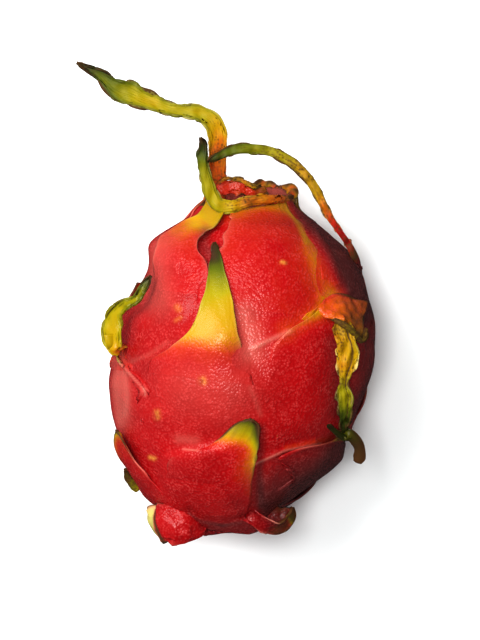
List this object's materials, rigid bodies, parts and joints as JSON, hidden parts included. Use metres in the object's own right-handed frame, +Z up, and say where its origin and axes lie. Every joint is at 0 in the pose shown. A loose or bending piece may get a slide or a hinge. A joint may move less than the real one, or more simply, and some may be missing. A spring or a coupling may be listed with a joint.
{
  "type": "dragon fruit",
  "caption": "Whole red dragon fruit with leaf-like scales and a crown of dried bracts, lying on its side on a small flat of its belly.",
  "frame": {"origin": "middle of the fruit's bounding box on the surface it lies on", "axes": "+Z up from the surface; +Y from the stem end towards the crown, along the longest extent; +X to the right when it is seen from above with the crown away from the viewer"},
  "size_m": [0.1, 0.1603, 0.0855],
  "materials": {
    "peel": "satin, waxy fruit peel"
  },
  "bodies": {
    "root": {"dragon_fruit": "peel"}
  },
  "joints": []
}
